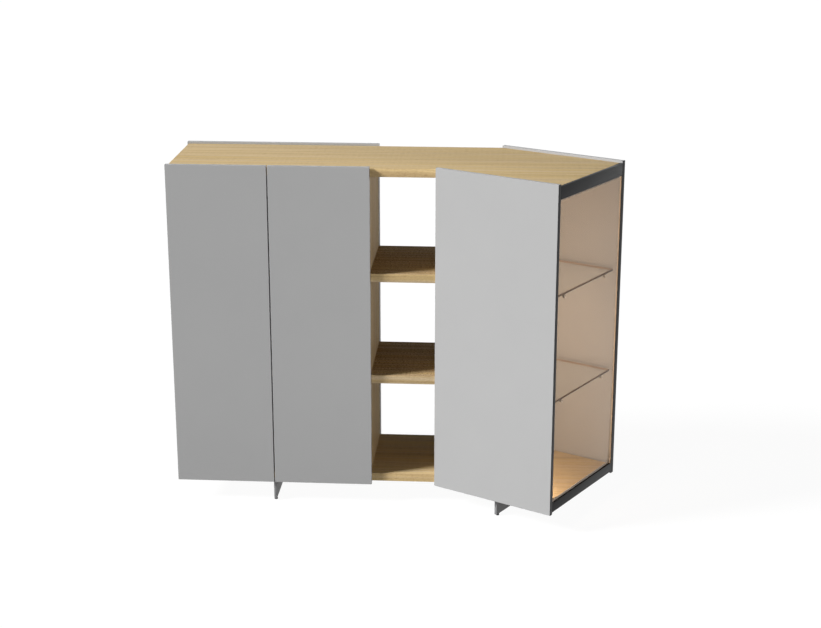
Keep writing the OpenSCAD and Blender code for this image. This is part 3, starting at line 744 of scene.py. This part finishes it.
UPRIGHT = (UP, BACK + 0.9 * ACROSS)
UPRIGHT_TURNED = (UP, INWARD + 0.9 * ALONG)
oak = oak_finish("oiled_oak", None)
# The bay shelves' oak gets strong flecks and stripes that darken it as painted shade, for the shade inside
# the open bay.
shaded_bay_oak = oak_finish("oiled_oak_bay", None, figure=2.3, flecked=0.7)
oak_edge = oak_finish("oiled_oak_edge", None, figure=2.0, flecked=0.15)
oak_upright = oak_finish("oiled_oak_upright", UPRIGHT, figure=2.4, flecked=0.1)
oak_turned = oak_finish("oiled_oak_upright_turned", UPRIGHT_TURNED, figure=2.4, flecked=0.1)
print("oak finishes made")

# %% [markdown]
# ## The oak boards
#
# The top and the bottom board follow the bend of the whole cupboard, so their plan is read from the
# CAD part: its corners, taken in order round the middle. Each board takes its own patch of the veneer.

# %% Make the boards
BOARD_EASE = 0.0012
PATCH = np.array((0.37, 1.9))  # from one board's patch of the veneer to the next one's
slots = {name: part.material_slots[0].material.name.split(".")[0] for name, part in nodes.items()}


def plan_of(node):
    """A flat part's corners seen from above, counter-clockwise round their middle."""
    corners = np.unique(np.round(corners_of(node)[:, :2], 5), axis=0)
    away = corners - corners.mean(0)
    return corners[np.argsort(np.arctan2(away[:, 1], away[:, 0]))]


def instead_of(node, piece, *materials):
    """The piece stands for the CAD part, with its body and slot. Prints how far their boxes differ."""
    for material in materials:
        piece.data.materials.append(material)
    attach(piece, nodes[node]["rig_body"])
    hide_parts(node)
    box = np.array(piece.bound_box)
    apart = np.abs(np.array((box.min(0), box.max(0))) - np.array(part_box(node))).max()
    print(f"{node}: {len(piece.data.polygons)} faces, {1000 * apart:.2f} mm from the CAD part's box")


BOARDS = {  # name: finish of its faces
    "top_board": oak, "bottom_board": oak, "bay_shelf_upper": shaded_bay_oak, "bay_shelf_lower": shaded_bay_oak,
    "inner_shelf_upper": oak, "inner_shelf_lower": oak,
}
for number, (node, face) in enumerate(BOARDS.items()):
    low, high = reach(node, UP)
    plan = plan_of("top_board" if node == "bottom_board" else node)
    board = prism(plan, low, high, ease=BOARD_EASE, steps=3, shift=PATCH * number)
    instead_of(node, joined("oak_" + node, [board], sides=1), face, oak_edge)

# %% [markdown]
# ## A lamp in the showcase
#
# In the photograph the panel behind the glass is evenly bright and warm, and the oak floor is
# brightest near the front corner. Showcases like this have a slim light strip standing in that corner.
# A tall narrow area lamp stands there, unseen by the camera, and a small round one under the top
# throws a soft beam down on the oak.

# %% Showcase lamp
STRIP_POWER, STRIP_COLOUR = 2.85, (1.0, 0.93, 0.84)
STRIP_IN, STRIP_WIDE, STRIP_SHARE = 0.035, 0.02, 0.94  # the share of the pane's height
STRIP_AIM = 0.55 * ALONG - 0.83 * INWARD
BEAM_POWER, BEAM_COLOUR = 0.4, (1.0, 0.86, 0.72)
BEAM_IN, BEAM_BELOW, BEAM_WIDE = 0.22, 0.02, 0.06
BEAM_SPREAD = 70  # degrees
low, high = reach("end_pane", UP)


def hidden_lamp(name, power, colour, inwards, z):
    """An area lamp so far inwards from the corner between pane and door, unseen by the camera."""
    lamp = bpy.data.objects.new(name, bpy.data.lights.new(name, "AREA"))
    lamp.data.energy = power
    lamp.data.color = colour
    s = reach("end_pane", ALONG)[0] - inwards
    w = reach("showcase_door", INWARD)[1] + inwards
    lamp.location = spot(ALONG, s, INWARD, w, z)
    lamp.visible_camera = False
    lamp.visible_glossy = False
    scene.collection.objects.link(lamp)
    return lamp


middle = low + 0.5 * (high - low)
strip = hidden_lamp("showcase_light", STRIP_POWER, STRIP_COLOUR, STRIP_IN, middle)
strip.data.shape = "RECTANGLE"
strip.data.size = STRIP_WIDE
strip.data.size_y = STRIP_SHARE * (high - low)
strip.rotation_euler = Vector(STRIP_AIM).to_track_quat("Z", "Y").to_euler()
beam = hidden_lamp("showcase_top_light", BEAM_POWER, BEAM_COLOUR, BEAM_IN, high - BEAM_BELOW)
beam.data.shape = "DISK"
beam.data.size = BEAM_WIDE
beam.data.spread = radians(BEAM_SPREAD)
print("strip at", np.round(strip.location, 3), "beam from", np.round(beam.location, 3))

# %% [markdown]
# ## Glass
#
# The two shelves and the pane are float glass with ground edges. Seen through its edge a sheet is many
# times thicker, so the edge gets a finish of its own. Of each shelf only the edge at the pane is
# polished, and it shows in the photograph as a thin dark line.

# %% Glass shelves and pane
SHEET_EASE = 0.0008
# The clear shelves' ground edges are brown as a painted reflection of the warm oak seen in them.
GROUND_WITH_OAK_REFLECTION = ((138, 120, 106), (160, 142, 126))
low, high = inside("glass_shelf_upper", "showcase")
wide, deep = (high - low)[:2].tolist()
clear_edge = ground_edge("clear_glass_edge", GROUND_WITH_OAK_REFLECTION, polished=(wide, wide + deep))
for node in ("glass_shelf_upper", "glass_shelf_lower"):
    low, high = inside(node, "showcase")
    shelf = prism(rectangle(*low[:2], *high[:2]), 0.0, high[2] - low[2], ease=SHEET_EASE)
    shelf = fit(shelf, "showcase", "swz", z=low[2])
    instead_of(node, joined(node + "_sheet", [shelf], sides=1), clear, clear_edge)
low, high = inside("end_pane", "showcase")
pane = prism(rectangle(*low[1:], *high[1:]), 0.0, high[0] - low[0], ease=SHEET_EASE)
pane = fit(pane, "showcase", "wzs", s=low[0])
instead_of("end_pane", joined("end_pane_sheet", [pane], sides=1), bronze, bronze_edge)

# %% [markdown]
# ## The metal frame of the glass end
#
# Two drawn aluminium rails hold the pane in a groove, a slim angle covers its rear edge, and flat bands
# close the ends of the door and of the back panel. Drawn profiles have one section over their whole
# length, so each is a section carried along, with a radius of a few tenths where the die was worn.

# %% Rails, caps, stile and bands
RAIL_T, GROOVE_W, GROOVE_DEEP = 0.010, 0.0064, 0.010
STILE_SKIN, STILE_HOOK = 0.0018, 0.0015
DIE_R = 0.0003


def rail_section(height):
    """Across a rail: a bar with a groove for the pane in its upper side, counter-clockwise."""
    lip, floor_z = (RAIL_T - GROOVE_W) / 2, height - GROOVE_DEEP
    return rounded([
        (0, 0), (RAIL_T, 0), (RAIL_T, height), (RAIL_T - lip, height), (RAIL_T - lip, floor_z),
        (lip, floor_z), (lip, height), (0, height)
    ], DIE_R, 2)


caps = []
for node, order in (("end_rail_bottom", "szw"), ("end_rail_top", "sZw")):
    low, high = inside(node, "showcase")
    section = rail_section(high[2] - low[2])
    z = low[2] if order == "szw" else high[2]
    rail = fit(prism(section, low[1], high[1], ease=0.0002), "showcase", order, s=low[0], z=z)
    instead_of(node, joined(node + "_profile", [rail]), anthracite)
    first, last = inside("rail_end_caps", "showcase")
    for w0, w1 in ((first[1], low[1]), (high[1], last[1])):
        cap = prism(section, w0, w1, ease=0.0003)
        caps.append(fit(cap, "showcase", order, s=low[0], z=z))
instead_of("rail_end_caps", joined("rail_end_caps_moulded", caps), black)

low, high = inside("end_stile", "showcase")
hook, inner = high[1] - STILE_HOOK, high[0] - STILE_SKIN
angle_plan = [(inner, low[1]), (high[0], low[1]), high[:2], (low[0], high[1]), (low[0], hook), (inner, hook)]
stile = fit(prism(rounded(angle_plan, DIE_R, 2), low[2], high[2], ease=0.0002), "showcase", "swz")
instead_of("end_stile", joined("end_stile_angle", [stile]), anthracite)
for node in ("showcase_door_edge", "right_back_edge"):
    low, high = inside(node, "showcase")
    band_plan = rounded(rectangle(*low[:2], *high[:2]), (0.0, 0.0005, 0.0005, 0.0), 3)
    strap = fit(prism(band_plan, low[2], high[2], ease=0.0004), "showcase", "swz")
    instead_of(node, joined(node + "_band", [strap]), anthracite)

# %% [markdown]
# ## The pale strips
#
# Where the pane meets the oak, a soft pale strip closes the gap on the inside, at the floor and under
# the top. It is drawn from silicone, so its inner corners are clearly rounded. A bar with a Bevel
# modifier would do, but its section is carried along as the rails' is, so its ends are eased too.

# %% Soft strips
LIP_R, BACK_R = 0.0008, 0.0002
for node in ("pane_seal_bottom", "pane_seal_top"):
    low, high = inside(node, "showcase")
    lip = rounded(rectangle(low[0], low[2], high[0], high[2]), (LIP_R, BACK_R, BACK_R, LIP_R), 3)
    soft = fit(prism(lip, low[1], high[1]), "showcase", "szw")
    instead_of(node, joined(node + "_strip", [soft]), seal)

# %% [markdown]
# ## Feet
#
# A foot is a steel blade set on edge and welded under a flange with round corners. Four screws go
# through the flange into the bottom board. The blade's ends are lower than its middle, because the
# left one reaches below the doors. The weld is a hollow quarter circle on both sides. Two turned pads
# of black plastic stand under each blade, with their studs in bores.

# %% Feet, screws and gliders
BLADE_T, BLADE_R, FLANGE_T, FLANGE_IN, FLANGE_R = 0.010, 0.0015, 0.004, 0.020, 0.010
STEP_Z = -0.003
WELD, WELD_FOOT, WELD_IN, WELD_UP, WELD_SHORT = 0.004, 0.0003, 0.0004, 0.0002, 0.002
SCREW_R, SCREW_H = 0.005, 0.0025
PAD_H = 0.006


def foot(unit, node):
    """Blade, two welds and flange, from the CAD part's box in its unit."""
    low, high = inside(node, unit)
    top = high[2] - FLANGE_T
    middle, half = (low[0] + high[0]) / 2, (high[0] - low[0]) / 2
    w0, w1 = low[1] + FLANGE_IN, high[1] - FLANGE_IN
    side = [
        (low[1], low[2]), (high[1], low[2]), (high[1], STEP_Z), (w1, STEP_Z), (w1, top), (w0, top),
        (w0, STEP_Z), (low[1], STEP_Z)
    ]
    radii = (BLADE_R, BLADE_R, BLADE_R, 0.0005, 0.0, 0.0, 0.0005, BLADE_R)
    face = BLADE_T / 2
    blade = prism(rounded(side, radii), -face, face, ease=0.0008, steps=3)
    a = np.linspace(np.pi, np.pi / 2, 6)
    hollow = np.stack((face + WELD + WELD * np.cos(a), top - WELD + WELD * np.sin(a)), 1)
    bead = [(face - WELD_IN, top + WELD_UP), (face - WELD_IN, top - WELD - WELD_FOOT)]
    bead += [*hollow, (face + WELD + WELD_FOOT, top + WELD_UP)]
    weld = prism(bead, w0 + WELD_SHORT, w1 - WELD_SHORT, ease=0.0006)
    flange = prism(rounded(rectangle(-half, w0, half, w1), FLANGE_R, 8), top, high[2], ease=0.0005)
    places = ((blade, "wzs"), (weld, "szw"), (weld, "Szw"), (flange, "swz"))
    return [fit(shape, unit, order, s=middle) for shape, order in places]


def foot_screws(unit, node):
    """Four screws that point up, their heads below the flange."""
    low, high = inside(node, unit)
    head = screw_head(SCREW_R, SCREW_H)
    shank = turned([(0.0025, 0), (0.0025, 0.0225), (0.0012, 0.024)])
    seat = low[2] + SCREW_H
    return [
        fit(shape, unit, order, s, w, seat) for s in (low[0] + SCREW_R, high[0] - SCREW_R)
        for w in (low[1] + SCREW_R, high[1] - SCREW_R) for shape, order in ((head, "swZ"), (shank, "swz"))
    ]


def gliders(unit, node):
    """Two pads with a groove round them, and their studs."""
    low, high = inside(node, unit)
    r = (high[0] - low[0]) / 2
    pad = turned([
        (r - 0.001, 0), (r, 0.001), (r, 0.0042), (r - 0.0005, 0.0045), (r - 0.0005, 0.005),
        (r - 0.0002, 0.0053), (r - 0.0002, PAD_H)
    ])
    tall = high[2] - low[2]
    stud = turned([(0.002, PAD_H), (0.002, tall - 0.001), (0.0012, tall)])
    return [
        fit(shape, unit, "swz", low[0] + r, w, low[2])
        for w in (low[1] + r, high[1] - r) for shape in (pad, stud)
    ]


KINDS = {  # CAD part: how it is made, its function and its finish
    "foot": ("welded", foot, shade_darkened_powder), "foot_screws": ("crossed", foot_screws, steel),
    "gliders": ("turned", gliders, black),
}
for unit, start in (("left", "left"), ("showcase", "right")):
    for kind, (made_how, make, material) in KINDS.items():
        node = start + "_" + kind
        instead_of(node, joined(node + "_" + made_how, make(unit, node)), material)

# %% [markdown]
# ## Shelf supports
#
# A wooden shelf lies on four turned pins with a collar, and a glass shelf on two such pins in the oak
# and on two pucks glued to the pane. The pucks are turned too, with a groove near the glue.

# %% Pins and pucks
PIN_COLLAR_R, PUCK_R = 0.0055, 0.007


def at_corners(shape, unit, node, r):
    """Four of a turned shape, lying across, inside the four corners of a CAD part's side."""
    low, high = inside(node, unit)
    return [
        fit(shape, unit, "wzs", low[0], w, z)
        for w in (low[1] + r, high[1] - r) for z in (low[2] + r, high[2] - r)
    ]


shelf_pin = turned([  # shank in its hole, collar, and the end that carries the shelf
    (0.0021, 0), (0.0025, 0.0005), (0.0025, 0.0089), (PIN_COLLAR_R, 0.0089), (PIN_COLLAR_R, 0.0101),
    (0.0027, 0.0101), (0.0025, 0.0106), (0.0025, 0.0173), (0.0019, 0.0179)
])
pins = [at_corners(shelf_pin, unit, "inner_shelf_pins", PIN_COLLAR_R) for unit in ("left", "right")]
instead_of("inner_shelf_pins", joined("inner_shelf_pins_turned", pins[0] + pins[1]), steel)
pins = at_corners(shelf_pin, "showcase", "glass_shelf_pins", PIN_COLLAR_R)
instead_of("glass_shelf_pins", joined("glass_shelf_pins_turned", pins), steel)
puck = turned([
    (PUCK_R - 0.0008, 0), (PUCK_R, 0.0008), (PUCK_R, 0.0074), (PUCK_R - 0.0005, 0.0077),
    (PUCK_R - 0.0005, 0.0083), (PUCK_R, 0.0086), (PUCK_R, 0.009)
])
pucks = at_corners(puck, "showcase", "glass_shelf_bonds", PUCK_R)
instead_of("glass_shelf_bonds", joined("glass_shelf_pucks", pucks), steel)

# %% [markdown]
# ## Concealed hinges
#
# Each door hangs on three concealed hinges, and they show as soon as it opens. A hinge is a pressed
# cup in the door with two screwed wings, a pin across it between two cheeks, an arm that bends out of
# the cup and lies along the side, and a plate with round-ended wings that carries the arm. The cup is
# turned; arm, wings and plate are stamped outlines with soft arrises, and the screws have cross
# recesses. The measures are those of the CAD hinge, so arm and cup swing clear of each other.

# %% Cups, pins, arms and plates
PIVOT_S, PIVOT_W = 0.009, 0.0081
CUP_R, CUP_DEEP, CUP_WALL, CUP_PROUD, CUP_S = 0.0175, 0.0115, 0.0009, 0.0012, 0.0205
DOOR_BACK = 0.0160
WING_S, WING_UP = 0.004, 0.022
ARM_HALF, ARM_TOP = 0.005, 0.033
PLATE_S, PLATE_W, PLATE_T = 0.023, 0.054, 0.004
HALF_HIGH = {"cups": 0.028, "hinge_pins": 0.010, "arms": ARM_HALF, "plates": 0.024}


def hinge_heights(node, unit, half):
    """The heights of a door's three hinges: half a piece inside the set's ends, and the middle."""
    low, high = inside(node, unit)
    return low[2] + half, (low[2] + high[2]) / 2, high[2] - half


def cup():
    """One cup, drawn round its pin: dish, two wings with screws, two cheeks.

    Each shape comes with the order of its directions and its place.
    """
    mouth = DOOR_BACK + CUP_PROUD
    rim, inner = CUP_DEEP + CUP_PROUD, CUP_R - CUP_WALL
    profile = [(0.0150, 0), (CUP_R, 0.0022), (CUP_R, rim), (inner, rim), (inner, 0.0030), (0.0145, 0.0008)]
    dish = turned(profile, 0.0003, 64)
    near = 0.0171  # the wing's edge follows the dish, just inside its wall
    a = np.arcsin(np.linspace(0.012, -0.004, 9) / near)
    edge = np.stack((near * np.sin(a), near * np.cos(a)), 1)
    b = np.linspace(np.pi, 0, 13)
    end = np.stack((WING_S + 0.008 * np.cos(b), 0.020 + 0.008 * np.sin(b)), 1)
    wing = prism(np.concatenate((edge, end))[::-1], mouth - CUP_PROUD, mouth - 0.00005, ease=0.0003)
    corner_radii = (0.0003, 0.0003, 0.0026, 0.0026)
    cheek = rounded(rectangle(0.0061, 0.0052, 0.0125, 0.0122), corner_radii)
    cheek = prism(cheek, 0.0055, 0.0098, ease=0.0003)
    head = screw_head(0.0033, 0.0011, 32)
    parts = [(dish, "szw", CUP_S, mouth - rim, 0.0)]
    for up, sign in (("z", 1), ("Z", -1)):
        parts += [
            (wing, "s" + up + "w", CUP_S, 0.0, 0.0), (cheek, "sw" + up, 0.0, 0.0, 0.0),
            (head, "s" + up + "w", CUP_S + WING_S, mouth, WING_UP * sign)
        ]
    return parts


def arm():
    """One arm: knuckle on the pin, neck in the cup, leg out of it, and the long block with screws."""
    block = [
        (0.009, 0.00685), (0.0295, 0.00685), (0.0295, 0.020), (ARM_TOP, 0.020), (ARM_TOP, 0.068),
        (0.0295, 0.080), (0.027, 0.080), (0.027, 0.00935), (0.009, 0.00935)
    ]
    radii = (0, 0.0024, 0.0008, 0.0012, 0.004, 0.001, 0.0005, 0.0006, 0)
    body = prism(rounded(block, radii, 4), -ARM_HALF, ARM_HALF, ease=0.0006, steps=3)
    knuckle = turned([(0.0026, -ARM_HALF), (0.0026, ARM_HALF)], 0.0004)
    head = screw_head(0.0032, 0.0007, 32)
    screws = [(head, "wzs", ARM_TOP, w, 0) for w in (0.030, 0.054)]
    return [(body, "swz", 0, 0, 0), (knuckle, "swz", PIVOT_S, PIVOT_W, 0), *screws]


def plate():
    """One mounting plate: a long foot under the arm and two round-ended wings with a screw each."""
    wing, long, wide, tip = 0.0085, 0.026, 0.010, 0.024
    outline = [
        (-long, -wide), (-wing, -wide), (-wing, -tip), (wing, -tip), (wing, -wide), (long, -wide),
        (long, wide), (wing, wide), (wing, tip), (-wing, tip), (-wing, wide), (-long, wide)
    ]
    radii = np.tile((0.002, 0.0015, 0.0083, 0.0083, 0.0015, 0.002), 2)
    body = prism(rounded(outline, radii, 6), 0.0, PLATE_T, ease=0.0006, steps=3)
    head = screw_head(0.0040, 0.0016)
    screws = [(head, "wzs", PLATE_S + PLATE_T, PLATE_W, z) for z in (0.0155, -0.0155)]
    return [(body, "wzs", PLATE_S, PLATE_W, 0), *screws]


def pin():
    """One hinge pin."""
    half = HALF_HIGH["hinge_pins"]
    return [(turned([(0.0015, -half), (0.0015, half)], 0.0003, 24), "swz", PIVOT_S, PIVOT_W, 0)]


for (kind, half), parts in zip(HALF_HIGH.items(), (cup(), pin(), arm(), plate())):
    for unit in UNITS:
        node = unit + "_" + kind
        shapes = [
            fit(shape, unit, order, s, w, z + height)
            for height in hinge_heights(node, unit, half) for shape, order, s, w, z in parts
        ]
        instead_of(node, joined(node + "_pressed", shapes), steel)

# %% [markdown]
# ## Push latches
#
# No door has a handle: it is pushed, and a latch under the top board springs it open. The housing is a
# square moulded tube with a bore and two screwed ears, and the plunger has a chamfered tip with a
# groove. The rings of the housing start at the bottom of the bore, come out to the front, turn round
# the rim and run back along the outside, so the hollow is a real one.

# %% Housings and plungers
HOUSING_HALF, BORE_R, RIM = 0.007, 0.00405, 0.0006
EAR_S, EAR_T = 0.0125, 0.003


def latch_axis(unit):
    """The place along the front and the height of the axis that tube and plunger share."""
    low, high = inside(unit + "_latch", unit)
    return (low[0] + high[0]) / 2, high[2] - HOUSING_HALF


def housing(unit, node):
    """The tube with its bore, the ears and their screws."""
    low, high = inside(node, unit)
    s, z = latch_axis(unit)
    long, half = high[1] - low[1], HOUSING_HALF
    middle, outer, mouth = low[1] + long / 2, half - RIM, BORE_R + RIM
    tube = box_rings([
        (BORE_R, BORE_R, 2, 0.032), (BORE_R, BORE_R, 2, RIM), (mouth, mouth, 2, 0), (outer, outer, 9, 0),
        (half - 0.0002, half - 0.0002, 10, 0.0002), (half, half, 11, RIM), (half, half, 11, long - RIM),
        (outer, outer, 9, long)
    ])
    ear = (high[0] - low[0]) / 2
    ears = prism(rounded(rectangle(-ear, -half, ear, half), 0.00695, 8), -EAR_T, 0, ease=0.0005)
    head = screw_head(0.0034, 0.0012)
    screws = [fit(head, unit, "swZ", s + side * EAR_S, middle, high[2] - EAR_T) for side in (-1, 1)]
    return [fit(tube, unit, "szw", s, low[1], z), fit(ears, unit, "swz", s, middle, high[2]), *screws]


def plunger(unit, node):
    """A rod with a chamfered tip and a groove."""
    low, high = inside(node, unit)
    s, z = latch_axis(unit)
    r = (high[0] - low[0]) / 2
    rod = turned([
        (r - 0.0012, 0), (r, 0.0012), (r, 0.0026), (r - 0.0004, 0.0029), (r - 0.0004, 0.0036),
        (r, 0.0039), (r, high[1] - low[1])
    ])
    return [fit(rod, unit, "szw", s, low[1], z)]


for unit in UNITS:
    node = unit + "_latch"
    instead_of(node, joined(node + "_housing", housing(unit, node)), grey)
    node = unit + "_plunger"
    instead_of(node, joined(node + "_rod", plunger(unit, node)), black)

# %% [markdown]
# ## The parts that stay
#
# The doors, the back panels and the upright sides are flat boards, and the CAD part has all their
# bores, pin holes and edges. A copy would only lose them, so they keep their meshes and get a finish:
# lacquer on the grey ones, and oak with upright stripes on the sides. The stripes of the turned side
# follow its own directions.

# %% Dress the parts that stay
FINISHES = {  # slot of the record: finish
    "oak": oak_upright, "grey_lacquer": lacquer, "grey_steel": shade_darkened_powder, "anthracite": anthracite,
    "bronze_glass": bronze, "clear_glass": clear, "pale_seal": seal, "black_plastic": black,
    "grey_plastic": grey, "bright_steel": steel,
}
for name, part in nodes.items():
    part.material_slots[0].material = FINISHES[slots[name]]
nodes["bay_right_side"].material_slots[0].material = oak_turned
print("dressed", len(nodes), "parts")

# %% [markdown]
# ## Close the lesson
#
# The picture keeps its colours as they are, through the Standard view transform.

# %% Finish
scene.view_settings.view_transform = "Standard"
